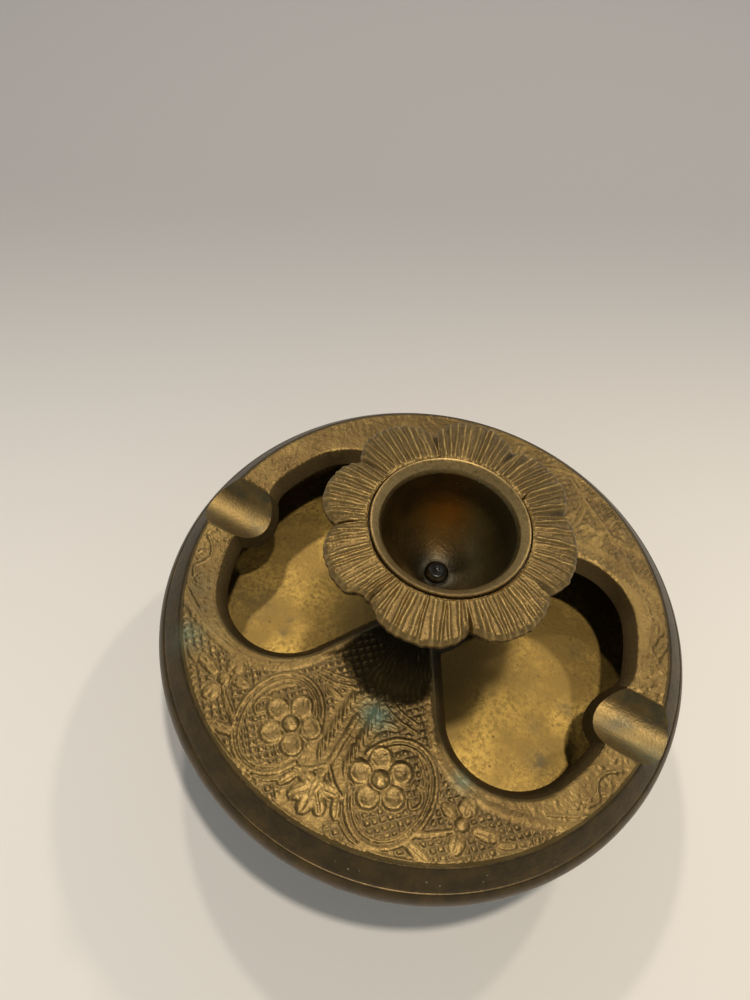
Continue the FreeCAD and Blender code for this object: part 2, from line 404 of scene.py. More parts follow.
# The lotus: rings of points from the cup's pocket out over the petals, down their backs and up inside
lotusShape = {
    # the gaps between petals as (angle, radius), then how far each petal reaches
    "notches": [
        (-150, 19.6), (-104, 19.8), (-53, 19.2), (-7, 20.4),
        (40, 21.3), (83, 21.7), (125, 20.4), (169, 20.6),
    ],
    "reaches": [22.7, 22.7, 22.4, 22.5, 23.6, 24.4, 24.0, 23.1],
    "petalRound": 2.7, "ragged": 0.045, "raggedWaves": (23, 37, 51, 73, 97),
    "top": 67.6, "droop": 1.0, "edge": 1.9, "base": 46.0, "baseRadius": 8.8,
    "pocket": 14.44, "face": 14.56, "shelf": 66.2, "cavity": 13.5, "cupCentre": 61.0, "seat": 48.6,
    "bore": 2.15,
    "crown": 0.35, "crease": 0.3, "innerRound": 0.45, "tipRound": 0.55, "tipBulge": 0.16,
    "ridges": 12, "ridgeRise": 0.5, "ridgeWidth": 0.36, "steps": 1536, "rows": 27, "seed": 5,
    "spread": {"place": 0.035, "slant": 0.05, "height": (0.55, 1.1), "width": (0.65, 1.2)},
    "sway": 0.006, "swayTurns": 9, "swell": 0.2, "swellTurns": 14,
    "tipFlutes": 0.28, "tipIn": 0.3, "back": {"curve": 1.75, "fall": 0.72, "gaps": 0.5, "flutes": 0.22},
    "chip": {"at": -109.5, "half": 3.0, "deep": 0.95},
    "crack": {"at": 54, "half": 0.13, "deep": 0.5, "end": 0.24, "slant": 14},
    "wear": {"ridges": 1.27, "flutes": 0.88, "gaps": 0.15, "tips": 0.1, "near": 0.12},
}


def makeLotus(shape):
    rng = np.random.default_rng(shape["seed"])
    count = len(shape["notches"])
    ends = np.array([n[0] for n in shape["notches"]] + [shape["notches"][0][0] + 360], float)
    deep = np.array([n[1] for n in shape["notches"]] + [shape["notches"][0][1]])
    turnAngle = ends[0] + np.arange(shape["steps"]) * 360 / shape["steps"]
    turn = np.radians(turnAngle)
    number = np.clip(np.searchsorted(ends, turnAngle, side="right") - 1, 0, count - 1)
    width = (ends[1:] - ends[:-1])[number]
    # -1 to 1 over a petal
    across = 2 * (turnAngle - ends[number]) / width - 1
    base = deep[number] + (deep[number + 1] - deep[number]) * (across + 1) / 2
    reach = np.array(shape["reaches"])[number]
    outline = base + (reach - base) * (1 - np.abs(across) ** shape["petalRound"])
    # the cast edge is a little ragged, with one chip
    for k in shape["raggedWaves"]:
        outline = outline + shape["ragged"] * np.cos(turn * k + rng.uniform(0, 6))
    chip = shape["chip"]
    outline = outline - chip["deep"] * np.exp(-((turnAngle - chip["at"]) / chip["half"]) ** 4)

    # ridges at uneven places across each petal, a little slanted and wavy, with flutes between them
    size, spread = (count, shape["ridges"]), shape["spread"]
    places = np.linspace(-0.93, 0.93, shape["ridges"])
    places = places + rng.uniform(-spread["place"], spread["place"], size)
    slants = rng.uniform(-spread["slant"], spread["slant"], size)
    heights = rng.uniform(*spread["height"], size)
    waves = rng.uniform(0, 6.3, size)
    widths = rng.uniform(*spread["width"], size) * shape["ridgeWidth"]

    def flute(share):
        # cut depth at that share of the way out from the pocket to the tip
        ridge = np.zeros_like(turn)
        for k in range(shape["ridges"]):
            wave = waves[number, k]
            middle = places[number, k] + slants[number, k] * (share - 0.5) * 2
            middle = middle + shape["sway"] * np.sin(shape["swayTurns"] * share + wave)
            gap = (across - middle) * np.radians(width / 2) * (shape["pocket"] + share * 8)
            swell = shape["swell"] * np.sin(shape["swellTurns"] * share + 2 * wave)
            high = heights[number, k] * (0.85 + swell)
            ridge = np.maximum(ridge, high * np.exp(-(gap / widths[number, k]) ** 2))
        fade = min(1, max(0, share + 0.02) / 0.1)
        return (1 - np.clip(ridge, 0, 1)) * fade

    notch = np.exp(-((1 - np.abs(across)) / 0.06) ** 2)
    rings = []
    paints = []

    def addRing(radius, height, worn):
        rings.append(np.stack([radius * np.cos(turn), radius * np.sin(turn), height + 0 * turn], 1))
        paints.append(worn + 0 * turn)

    full = np.ones_like(turn)
    addRing(shape["pocket"] * full, shape["shelf"] * full, 0.0)
    addRing(shape["pocket"] * full, (shape["top"] - 0.45) * full, 0.25)
    lumps = sum(rng.uniform(0.02, 0.05) * np.cos(turn * k + rng.uniform(0, 6)) for k in (3, 5, 7, 11))
    crack, wear = shape["crack"], shape["wear"]
    for share in np.linspace(0, 1, shape["rows"] + 1):
        radius = shape["face"] + (outline - shape["face"]) * share
        droop = shape["droop"] * share ** 2
        crown = shape["crown"] * (1 - across ** 2) * share
        cut = flute(share)
        crease = notch * np.clip((share - 0.55) / 0.4, 0, 1) * shape["crease"]
        inner = shape["innerRound"] * max(0, 1 - share / 0.07) ** 2
        rollOff = shape["tipRound"] * max(0, (share - 0.9) / 0.1) ** 2
        height = shape["top"] + lumps - droop + crown - cut * shape["ridgeRise"] - crease - inner - rollOff
        fromCrack = np.radians(turnAngle - crack["at"] - crack["slant"] * share) * radius
        split = np.exp(-(fromCrack / crack["half"]) ** 2) * (share < crack["end"])
        height = height - split * crack["deep"]
        worn = wear["ridges"] - wear["flutes"] * cut - split - wear["gaps"] * notch * share
        worn = worn + wear["tips"] * (share > 0.85) - wear["near"] * np.sin(turn)
        addRing(radius, height, worn)
    tipHeight = rings[-1][:, 2]
    cutEdge = flute(1.0)
    for t in np.linspace(0.15, 1, 7):
        bulge = shape["tipBulge"] * math.sin(math.pi * t)
        radius = outline + bulge - shape["tipFlutes"] * cutEdge * t - shape["tipIn"] * t ** 2
        addRing(radius, tipHeight - shape["edge"] * t, 0.7 - 0.4 * cutEdge - 0.5 * t)
    tipUnder = rings[-1]
    underRadius = np.hypot(tipUnder[:, 0], tipUnder[:, 1])
    back = shape["back"]
    for t in np.linspace(0, 1, 16)[1:]:
        # the back of the petals runs down to the base and the petals' shape fades
        radius = shape["baseRadius"] + (underRadius - shape["baseRadius"]) * (1 - t) ** back["curve"]
        radius = radius - back["gaps"] * notch * (1 - t) - back["flutes"] * cutEdge * (1 - t) ** 1.5
        height = shape["base"] + (tipUnder[:, 2] - shape["base"]) * (1 - t) ** back["fall"]
        addRing(radius, height, 0.06)
    addRing(shape["bore"] * full, shape["base"] * full, 0.0)
    addRing(shape["bore"] * full, shape["seat"] * full, 0.0)
    low = math.degrees(math.asin((shape["cupCentre"] - shape["seat"]) / shape["cavity"]))
    for r, z in arcPoints((0, shape["cupCentre"]), shape["cavity"], -low, 0, 8):
        addRing(r * full, z * full, 0.0)
    addRing(shape["cavity"] * full, shape["shelf"] * full, 0.0)

    points = np.concatenate(rings)
    steps = shape["steps"]
    faces = []
    for row in range(len(rings)):
        a, b = row * steps, (row + 1) % len(rings) * steps
        for i in range(steps):
            j = (i + 1) % steps
            faces.append((a + i, b + i, b + j, a + j))
    piece = meshPiece("lotus_petals", points, faces)
    setPaint(piece, "worn", np.concatenate(paints))
    tidyMesh(piece, 50, merge=0)
    return piece


# The lid's solid: a turned blank, two pierced openings, two rests
lidShape = {
    "under": 35.0, "top": 37.75, "spigotInner": 47.8, "spigot": 50.2, "spigotLow": 31.2, "seam": 33.8,
    "seamRadius": 53.7, "edgeRadius": 50.2, "edge": 0.7, "steps": 720,
    "openingRadius": 43.5, "farAngle": 56.5, "nearAngle": 58.8, "corner": 15.0, "innerRadius": 8.5,
    "innerCorner": 3.0, "slope": 2.2 / 3.0, "slopeTop": 38.0,
    "tongueTip": 41.7, "tongueRadius": 30.0, "tongueFillet": 6.0, "restOffset": -2.2, "troughLow": 32.2,
    "grooveRadius": 7.4, "grooveAxis": 41.6, "grooveWall": 2.0, "outlineStep": 0.4, "topStep": 0.235,
    "bore": 2.15, "middleRing": 20, "rowShare": 0.866, "thinFrom": 4,
}


def angleOf(centre, point):
    return math.degrees(math.atan2(point[1] - centre[1], point[0] - centre[0]))


def halfOutline(shape, tongue, halfAngle, inset):
    # the far half of the right opening, as arcs about fixed centres moved in by the inset
    reach = shape["openingRadius"] - shape["tongueFillet"]
    span = shape["tongueRadius"] + shape["tongueFillet"]
    apart = math.hypot(*tongue)
    along = (reach ** 2 - span ** 2 + apart ** 2) / (2 * apart)
    nookAngle = angleOf((0, 0), tongue) + math.degrees(math.acos(along / reach))
    nook = arcPoints((0, 0), reach, nookAngle, nookAngle, 1)[0]
    tongueAngle = angleOf(tongue, nook)
    cornerReach = shape["openingRadius"] - shape["corner"]
    cornerAngle = halfAngle - math.degrees(math.asin(shape["corner"] / cornerReach))
    corner = arcPoints((0, 0), cornerReach, cornerAngle, cornerAngle, 1)[0]
    endReach = shape["innerRadius"] + shape["innerCorner"]
    endAngle = halfAngle - math.degrees(math.asin(shape["innerCorner"] / endReach))
    end = arcPoints((0, 0), endReach, endAngle, endAngle, 1)[0]
    arcs = [
        (nook, shape["tongueFillet"], tongueAngle - 180, nookAngle),
        ((0, 0), shape["openingRadius"], nookAngle, cornerAngle),
        (corner, shape["corner"], cornerAngle, halfAngle + 90),
        (end, shape["innerCorner"], halfAngle + 90, endAngle + 180),
    ]
    points = []
    for centre, radius, start, stop in arcs:
        steps = max(4, round(abs(math.radians(stop - start)) * radius / shape["outlineStep"]))
        points += arcPoints(centre, radius - inset, start, stop, steps)[:-1]
    last = arcPoints(centre, radius - inset, stop, stop, 1)[0]
    return points + [last], tongueAngle, endAngle


def openingOutline(shape, inset):
    tongue = (shape["tongueTip"] + shape["tongueRadius"], shape["restOffset"])
    far, farTongue, farEnd = halfOutline(shape, tongue, shape["farAngle"], inset)
    near, nearTongue, nearEnd = halfOutline(shape, (tongue[0], -tongue[1]), shape["nearAngle"], inset)
    hub = arcPoints((0, 0), shape["innerRadius"] + inset, farEnd, -nearEnd, 40)[1:-1]
    tip = arcPoints(tongue, shape["tongueRadius"] + inset, 360 - nearTongue, farTongue, 44)[1:-1]
    return far + hub + [(x, -y) for x, y in reversed(near)] + tip


def openingTool(shape, side):
    loops = []
    for height in (shape["under"] - 0.4, shape["top"] + 0.4):
        outline = openingOutline(shape, (shape["slopeTop"] - height) * shape["slope"])
        loops.append([(side * x, y, height) for x, y in outline])
    count = len(loops[0])
    faces = [tuple(range(count)), tuple(range(count, 2 * count))]
    faces += [(i, (i + 1) % count, count + (i + 1) % count, count + i) for i in range(count)]
    tool = meshPiece("opening_tool", loops[0] + loops[1], faces)
    tidyMesh(tool)
    return tool


def restTool(shape, side, radius, start, end):
    # a cylinder laid along a rest
    bpy.ops.object.select_all(action="DESELECT")
    middle = (side * (start + end) / 2 * mm, shape["restOffset"] * mm, shape["grooveAxis"] * mm)
    bpy.ops.mesh.primitive_cylinder_add(vertices=160, radius=radius * mm, depth=(end - start) * mm,
                                        location=middle, rotation=(0, math.pi / 2, 0))
    tool = bpy.context.object
    bpy.ops.object.transform_apply(location=True, rotation=True, scale=True)
    return tool


def restTrough(shape, side):
    # the metal hung under a rest, its end sloped like the opening's wall
    reach = (shape["slopeTop"] - shape["troughLow"]) * shape["slope"]
    trough = restTool(shape, side, shape["grooveRadius"] + shape["grooveWall"],
                      shape["tongueTip"] - reach - 0.5, shape["spigotInner"] + 1)
    depth = shape["under"] + 0.2 - shape["troughLow"]
    wide = shape["tongueRadius"] + reach
    narrow = wide - depth * shape["slope"]
    tongueMiddle = shape["tongueTip"] + shape["tongueRadius"]
    centre = (side * tongueMiddle, shape["restOffset"], shape["troughLow"] + depth / 2)
    bpy.ops.object.select_all(action="DESELECT")
    bpy.ops.mesh.primitive_cone_add(vertices=512, radius1=wide * mm, radius2=narrow * mm, depth=depth * mm,
                                    location=[c * mm for c in centre])
    block = bpy.context.object
    bpy.ops.object.transform_apply(location=True, rotation=True, scale=True)
    combine(trough, block, "INTERSECT")
    return trough


def makeLidSolid(shape):
    profile = softLine([
        (shape["bore"], shape["under"], 0),
        (shape["middleRing"], shape["under"], 0),
        (shape["spigotInner"], shape["under"], 0.4),
        (shape["spigotInner"], shape["spigotLow"], 0.3),
        (shape["spigot"], shape["spigotLow"], 0.3),
        (shape["spigot"], shape["seam"], 0),
        (shape["seamRadius"], shape["seam"], 0.4),
        (shape["edgeRadius"], shape["top"], shape["edge"]),
        (shape["middleRing"], shape["top"], 0),
        (shape["bore"], shape["top"], 0),
    ])
    lid = turnProfile("lid_shell", profile, shape["steps"])
    for side in (1, -1):
        combine(lid, openingTool(shape, side), "DIFFERENCE")
        combine(lid, restTrough(shape, side), "UNION")
        start, end = shape["tongueTip"] - 5, shape["seamRadius"] + 2
        combine(lid, restTool(shape, side, shape["grooveRadius"], start, end), "DIFFERENCE")
    return lid


# Ornament of the lid's top, in millimetres from its middle. What is drawn for the right of the near half
# is mirrored to the left, and returns more weakly on the far half. A bead is a raised line: its path,
# half width and rise. A leaf is its place, turn, half length, half width and rise.
ornament = {
    "flowers": {
        1: {"at": (9.3, -36.0), "phase": 119, "button": 1.75},
        -1: {"at": (-9.8, -36.0), "phase": 90, "button": 1.65},
    },
    "petals": {"count": 5, "out": 3.7, "long": 2.6, "wide": 2.4, "rise": 0.27},
    "buttonRise": 0.42, "moatGap": 0.15, "moatWidth": 0.4,
    "bud": {"at": (25.2, -35.3), "button": 1.35, "rise": 0.28},
    "ring": {
        "at": (12.0, -36.9), "radii": (7.6, 9.7), "from": -152, "to": 158,
        "lines": [(0.0, 0.5, 0.2), (1.15, 0.32, 0.15)],
    },
    "band": [
        (46.8, -21.8), (41.2, -26.2), (34.5, -28.9), (26.5, -30.2),
        (20.2, -29.2), (15.2, -26.0), (11.3, -21.0), (8.6, -16.4),
    ],
    "beads": [
        ([(0.2, -38.8), (2.4, -40.9), (5.0, -42.2)], 0.45, 0.22),
        ([(18.6, -40.9), (21.4, -39.2), (24.4, -36.9)], 0.5, 0.2),
        ([(17.8, -41.9), (20.6, -40.4), (23.6, -38.2)], 0.3, 0.15),
        ([(3.0, -22.2), (6.6, -23.5), (10.4, -24.0)], 0.36, 0.2),
        ([(3.3, -24.0), (6.9, -25.1), (10.9, -25.4)], 0.36, 0.2),
        ([(46.6, -11.8), (44.7, -13.2), (43.4, -15.3), (43.8, -17.3), (44.7, -19.0), (43.5, -20.8)],
         0.34, 0.15),
        ([(44.6, -14.6), (45.8, -15.4), (45.9, -16.8), (44.9, -17.2)], 0.28, 0.13),
        ([(45.6, -19.9), (44.4, -22.0), (41.4, -24.0), (37.6, -26.0)], 0.26, 0.12),
        ([(15.6, -33.8), (17.0, -34.6), (17.4, -36.4), (16.3, -37.6), (15.4, -36.6)], 0.4, 0.2),
        ([(13.2, -29.2), (15.2, -30.9), (16.6, -32.9)], 0.34, 0.16),
        ([(5.2, -44.6), (9.6, -47.2), (15.0, -46.7), (21.0, -44.7)], 0.34, 0.16),
    ],
    "leaves": [
        ((1.7, -44.9), -48, 2.6, 1.5, 0.32),
        ((1.9, -42.4), 8, 2.5, 1.4, 0.3),
        ((5.0, -44.3), -62, 2.1, 0.95, 0.3),
        ((20.4, -43.2), -10, 3.3, 1.15, 0.28),
        ((24.9, -32.1), 95, 2.0, 1.9, 0.26),
        ((25.8, -38.6), -80, 1.9, 1.6, 0.26),
        ((29.6, -34.6), 14, 2.7, 1.3, 0.26),
        ((22.2, -34.4), 165, 1.8, 1.2, 0.22),
        ((33.4, -34.4), 30, 1.9, 0.8, 0.2),
        ((6.0, -26.8), 10, 1.9, 0.7, 0.2),
        ((12.4, -22.2), -52, 2.0, 0.6, 0.16),
    ],
    "middleBeads": [([(0, -41), (0, -34), (0, -28.6)], 0.62, 0.16)],
    "middleLeaves": [((0, -45.7), -90, 2.7, 1.6, 0.34), ((0, -42.4), -90, 1.8, 1.3, 0.32)],
    "smallRings": [((41.4, -21.9), 0.5), ((42.3, -21.0), 0.5), ((43.0, -19.9), 0.45)],
    "smallRingWidth": 0.22, "smallRingRise": 0.1,
    "strokes": {
        "count": 9, "x": 2.7, "from": -25.4, "step": -1.5, "turn": -62,
        "long": 1.7, "wide": 0.36, "rise": 0.18,
    },
    "scores": {
        "count": 19, "sway": 0.18, "swayStep": 1.7, "rise": 0.13,
        "inner": 20, "outer": 23, "left": (-4, -1),
    },
    "hatchPitch": 1.4, "hatchRise": 0.19, "hatchTurn": 45, "bandWidth": 0.85, "bandRise": 0.12,
    "bandEnds": (-12, -20),
    "hatchClear": {
        "band": (0.6, 1.3), "rim": (0.7, 1.3), "middle": (4.2, 5.4), "widen": 3, "widenFrom": -26,
    },
    "rimBead": {"in": 0.75, "wide": 0.35, "rise": 0.12},
    "farShare": 0.85, "farLeast": 0.4, "farFade": (-25, 12), "farReach": 3.6, "farReachFade": (15, 25),
    "farBeads": [
        ([(13.5, 45.6), (20.6, 40.1), (28.2, 35.0)], 0.45, 0.26),
        ([(30.5, 33.5), (36.0, 28.0), (41.5, 21.0)], 0.5, 0.16),
    ],
    "farLeaves": [
        ((29.2, 37.6), -35, 2.3, 1.2, 0.28),
        ((20.6, 33.6), 62, 3.2, 0.8, 0.24),
        ((17.4, 35.6), 70, 3.0, 0.8, 0.22),
        ((31.5, 31.0), -40, 2.2, 0.9, 0.2),
        ((43.5, 17.5), 100, 2.4, 0.7, 0.2),
        ((45.6, 14.5), 75, 2.2, 0.7, 0.2),
    ],
    "farStrokes": {
        "from": (17.0, 44.3), "to": (28.6, 40.0), "count": 10, "turn": 62,
        "long": 1.7, "wide": 0.34, "rise": 0.22,
    },
    "lift": 0.25, "ease": (0, 0.6), "hub": (8.4, 9.2), "grain": 0.008, "stipple": 0.022, "seed": 3,
    "restStipple": {"more": 1.6, "x": (38, 43), "y": (11, 16)}, "fullWear": 0.6,
    # darkening of the work: patina in lines and edges, painted shade with patina in the dished petals
    "dirtAndShade": {"hatch": 0.85, "edges": 0.35, "dishShadeAndPatinaShare": 0.35, "farEdges": 0.4},
}


def smoothPath(points, step=0.25):
    # a Catmull-Rom line through the points
    p = np.array(points, float)
    p = np.concatenate([[2 * p[0] - p[1]], p, [2 * p[-1] - p[-2]]])
    out = []
    for i in range(1, len(p) - 2):
        a, b, c, d = p[i - 1:i + 3]
        n = max(2, int(np.linalg.norm(c - b) / step))
        for t in np.linspace(0, 1, n, endpoint=False):
            out.append(0.5 * (2 * b + (c - a) * t + (2 * a - 5 * b + 4 * c - d) * t ** 2
                              + (3 * b - a - 3 * c + d) * t ** 3))
    out.append(p[-2])
    return np.array(out)


class Relief:
    # heights over a cloud of points, raised by beads, leaves and petals
    def __init__(self, x, y):
        self.x = x
        self.y = y
        self.rise = np.zeros_like(x)
        self.near = np.zeros_like(x)
        self.dishShadeAndPatina = np.zeros_like(x)

    def within(self, low, high):
        mask = (self.x > low[0]) & (self.x < high[0]) & (self.y > low[1]) & (self.y < high[1])
        return np.nonzero(mask)[0]

    def add(self, spots, height, gap):
        self.rise[spots] = np.maximum(self.rise[spots], height)
        self.near[spots] = np.maximum(self.near[spots], 1 - np.clip(gap / 0.45, 0, 1))

    def bead(self, path, width, rise):
        low, high = path.min(0) - width - 0.6, path.max(0) + width + 0.6
        spots = self.within(low, high)
        gap = gapFinder(path)(self.x[spots], self.y[spots])
        self.add(spots, rise * np.sqrt(np.clip(1 - (gap / width) ** 2, 0, 1)), gap - width)

    def moat(self, at, radius, width):
        gap = np.hypot(self.x - at[0], self.y - at[1]) - radius
        self.rise *= 1 - 0.65 * np.where(gap < 0, 1, np.exp(-(gap / width) ** 2))

    def leaf(self, at, turn, length, width, rise, kind="vein"):
        # a veined leaf, a dished petal or a round button
        reach = max(length, width) * 1.1 + 0.6
        spots = self.within((at[0] - reach, at[1] - reach), (at[0] + reach, at[1] + reach))
        t = math.radians(turn)
        dx, dy = self.x[spots] - at[0], self.y[spots] - at[1]
        along = (dx * math.cos(t) + dy * math.sin(t)) / length
        across = (-dx * math.sin(t) + dy * math.cos(t)) / width
        size = np.hypot(along, across)
        height = rise * np.clip(1 - size ** 2, 0, 1) ** 0.5
        if kind == "dish":
            rim = np.exp(-((size - 0.68) / 0.26) ** 2) * (0.55 + 0.45 * smooth(along, -0.5, 0.6))
            height = rise * (0.42 + 0.58 * rim) * smooth(1.1 - size, 0, 0.4)
            # the middle of a dished petal takes painted shade, with patina
            self.dishShadeAndPatina[spots] = np.maximum(self.dishShadeAndPatina[spots], smooth(0.75 - size, 0, 0.5))
        elif kind == "vein":
            height = height - rise * 0.35 * np.exp(-(across / 0.2) ** 2) * smooth(0.9 - size, 0, 0.3)
        self.add(spots, np.clip(height, 0, None), (size - 1) * min(length, width))


def addDrawing(relief, beads, leaves, side=1):
    # a side of -1 mirrors what is drawn
    for path, width, rise in beads:
        relief.bead(smoothPath([(side * x, y) for x, y in path]), width, rise)
    for at, turn, length, width, rise in leaves:
        relief.leaf((side * at[0], at[1]), turn if side > 0 else 180 - turn, length, width, rise)


def addNearOrnament(relief, look):
    petals, bud, ring, strokes = look["petals"], look["bud"], look["ring"], look["strokes"]
    beads = look["beads"] + [(look["band"], look["bandWidth"], look["bandRise"])]
    for side in (1, -1):
        addDrawing(relief, beads, look["leaves"], side)
        turns = np.radians(np.linspace(ring["from"], ring["to"], 130))
        for shrink, width, rise in ring["lines"]:
            oval = np.stack([side * (ring["at"][0] + (ring["radii"][0] - shrink) * np.cos(turns)),
                             ring["at"][1] + (ring["radii"][1] - shrink) * np.sin(turns)], 1)
            relief.bead(oval, width, rise)
        flower = look["flowers"][side]
        for k in range(petals["count"]):
            turn = flower["phase"] + 360 / petals["count"] * k
            at = arcPoints(flower["at"], petals["out"], turn, turn, 1)[0]
            relief.leaf(at, turn, petals["long"], petals["wide"], petals["rise"], "dish")
        relief.moat(flower["at"], flower["button"] + look["moatGap"], look["moatWidth"])
        relief.leaf(flower["at"], 0, flower["button"], flower["button"], look["buttonRise"], "round")
        budAt = (side * bud["at"][0], bud["at"][1])
        relief.leaf(budAt, 0, bud["button"], bud["button"], bud["rise"], "round")
        for k in range(strokes["count"]):
            at = (side * strokes["x"], strokes["from"] + strokes["step"] * k)
            relief.leaf(at, strokes["turn"], strokes["long"], strokes["wide"], strokes["rise"], "round")
        for at, radius in look["smallRings"]:
            circle = arcPoints((side * at[0], at[1]), radius, 0, 360, 24)
            relief.bead(np.array(circle), look["smallRingWidth"], look["smallRingRise"])
    addDrawing(relief, look["middleBeads"], look["middleLeaves"])


def addFarOrnament(relief, look):
    addDrawing(relief, look["farBeads"], look["farLeaves"])
    strokes = look["farStrokes"]
    for at in np.linspace(strokes["from"], strokes["to"], strokes["count"]):
        relief.leaf(at, strokes["turn"], strokes["long"], strokes["wide"], strokes["rise"], "round")


def hatch(x, y, pitch, turn):
    # pyramids between two sets of cut lines, 0 in the lines and 1 at the points
    total = np.ones_like(x)
    for t in (math.radians(turn), math.radians(turn + 90)):
        wave = (x * math.cos(t) + y * math.sin(t)) / pitch
        total = np.minimum(total, 1 - np.abs(2 * (wave - np.floor(wave)) - 1))
    return total


def stipple(x, y, rng):
    # uneven cast skin: waves of one to three millimetres in all directions
    total = np.zeros_like(x)
    for k in range(36):
        turn, length, start = rng.uniform(0, math.pi), rng.uniform(0.9, 3.0), rng.uniform(0, 2 * math.pi)
        total += np.sin((x * math.cos(turn) + y * math.sin(turn)) * 2 * math.pi / length + start)
    return total / 6


def clearTop(lid, shape):
    # take off the flat top and give its edge as loops of vertex numbers
    bm = bmesh.new()
    bm.from_mesh(lid.data)
    level = shape["top"] * mm
    flat = [f for f in bm.faces if all(abs(v.co.z - level) < 2e-6 for v in f.verts)]
    bmesh.ops.delete(bm, geom=flat, context="FACES")
    # long edges are split to about the step of the grid that fills the top
    for cuts in (1, 2, 4, 8, 16, 32):
        most = shape["topStep"] * mm * 1.9 * cuts
        rough = [e for e in bm.edges if e.is_boundary and most < e.calc_length() <= most * 2]
        if rough:
            bmesh.ops.bisect_edges(bm, edges=rough, cuts=2 * cuts, edge_percents={})
    bm.verts.index_update()
    bm.edges.index_update()
    # the edges left open are followed round, one loop after another
    loops = []
    left = {e.index: e for e in bm.edges if e.is_boundary}
    while left:
        edge = left.pop(min(left))
        loop = [edge.verts[0], edge.verts[1]]
        while True:
            onward = [e for e in loop[-1].link_edges if e.index in left]
            if not onward:
                break
            left.pop(onward[0].index)
            loop.append(onward[0].other_vert(loop[-1]))
        loops.append([v.index for v in loop[:-1]])
    bm.to_mesh(lid.data)
    bm.free()
    return loops


def topGrid(shape):
    # points in even triangles
    step = shape["topStep"]
    rows = int(shape["edgeRadius"] / (step * shape["rowShare"])) + 1
    columns = int(shape["edgeRadius"] / step) + 1
    j, i = np.mgrid[-rows:rows + 1, -columns:columns + 1]
    x = (i + 0.5 * (j % 2)) * step
    y = j * step * shape["rowShare"]
    # the far half is weaker work and takes half as many points
    keep = (np.hypot(x, y) < shape["edgeRadius"]) & ((y < shape["thinFrom"]) | ((i + j) % 2 == 0))
    return x[keep], y[keep]


def ornamentHeights(x, y, gap, rimGap, look):
    # rise of the worked top over the blank, with the wear and patina that go with it and painted shade in
    # the dished petals
    far = y > 0
    rng = np.random.default_rng(look["seed"])
    relief = Relief(x, -np.abs(y))
    addNearOrnament(relief, look)
    beyond = Relief(x, y)
    addFarOrnament(beyond, look)
    fromMiddle = np.hypot(x, y)
    least = look["farLeast"]
    share = np.where(far, look["farShare"] * (least + (1 - least) * smooth(x, *look["farFade"])), 1.0)

    # the hatched ground lies outside the band, clear of the rim, the middle line and the raised work
    band = np.array(look["band"])[::-1]
    ends, clear = look["bandEnds"], look["hatchClear"]
    limit = np.interp(np.abs(x), band[:, 0], band[:, 1], left=ends[0], right=ends[1])
    limit = limit + look["farReach"] * far * smooth(x, *look["farReachFade"])
    field = smooth(limit - relief.y, *clear["band"]) * smooth(rimGap, *clear["rim"]) * (1 - relief.near)
    fromLine = np.abs(x) + np.maximum(relief.y - clear["widenFrom"], 0) * clear["widen"]
    field = field * smooth(fromLine, *clear["middle"])
    nubs = np.clip(hatch(x, y, look["hatchPitch"], look["hatchTurn"]) * 1.5, 0, 1)

    # wavy strokes run out from the stem on the right of the near half
    scores = look["scores"]
    wave = np.arctan2(y, x) * scores["count"] + scores["sway"] * np.sin(fromMiddle * scores["swayStep"])
    inScores = 1 - smooth(fromMiddle, scores["inner"], scores["outer"])
    inScores = inScores * smooth(x, *scores["left"]) * (1 - far)
    scored = inScores * (1 - np.abs(2 * (wave - np.floor(wave)) - 1)) ** 2
    field = field * (1 - inScores)

    rimBead = look["rimBead"]
    bead = rimBead["rise"] * np.exp(-((rimGap - rimBead["in"]) / rimBead["wide"]) ** 2)
    hatched = field * (1 - beyond.near) * nubs * look["hatchRise"] * share
    worked = np.maximum(relief.rise * share, beyond.rise) + hatched + bead + scored * scores["rise"]
    worked = worked + rng.normal(0, look["grain"], len(x))
    # the skin is rougher beside the rests
    rough = look["restStipple"]
    byRest = smooth(np.abs(x), *rough["x"]) * (1 - smooth(np.abs(y), *rough["y"]))
    worked = worked + stipple(x, y, rng) * look["stipple"] * (1 + rough["more"] * byRest)
    ease = smooth(gap, *look["ease"])
    height = look["lift"] * ease + worked * ease * smooth(fromMiddle, *look["hub"])

    # cut darkens the hatch lines and the edges of raised work with patina, and the middles of dished
    # petals with painted shade and patina
    dirtAndShade = look["dirtAndShade"]
    edges = relief.near * (relief.rise < 0.05)
    cut = (dirtAndShade["hatch"] * field * (1 - nubs) + dirtAndShade["edges"] * edges + dirtAndShade["dishShadeAndPatinaShare"] * relief.dishShadeAndPatina) * share
    cut = np.clip(cut + dirtAndShade["farEdges"] * beyond.near * (beyond.rise < 0.05), 0, 1)
    wear = np.clip(worked / look["fullWear"], 0, 1)
    return height, wear, cut


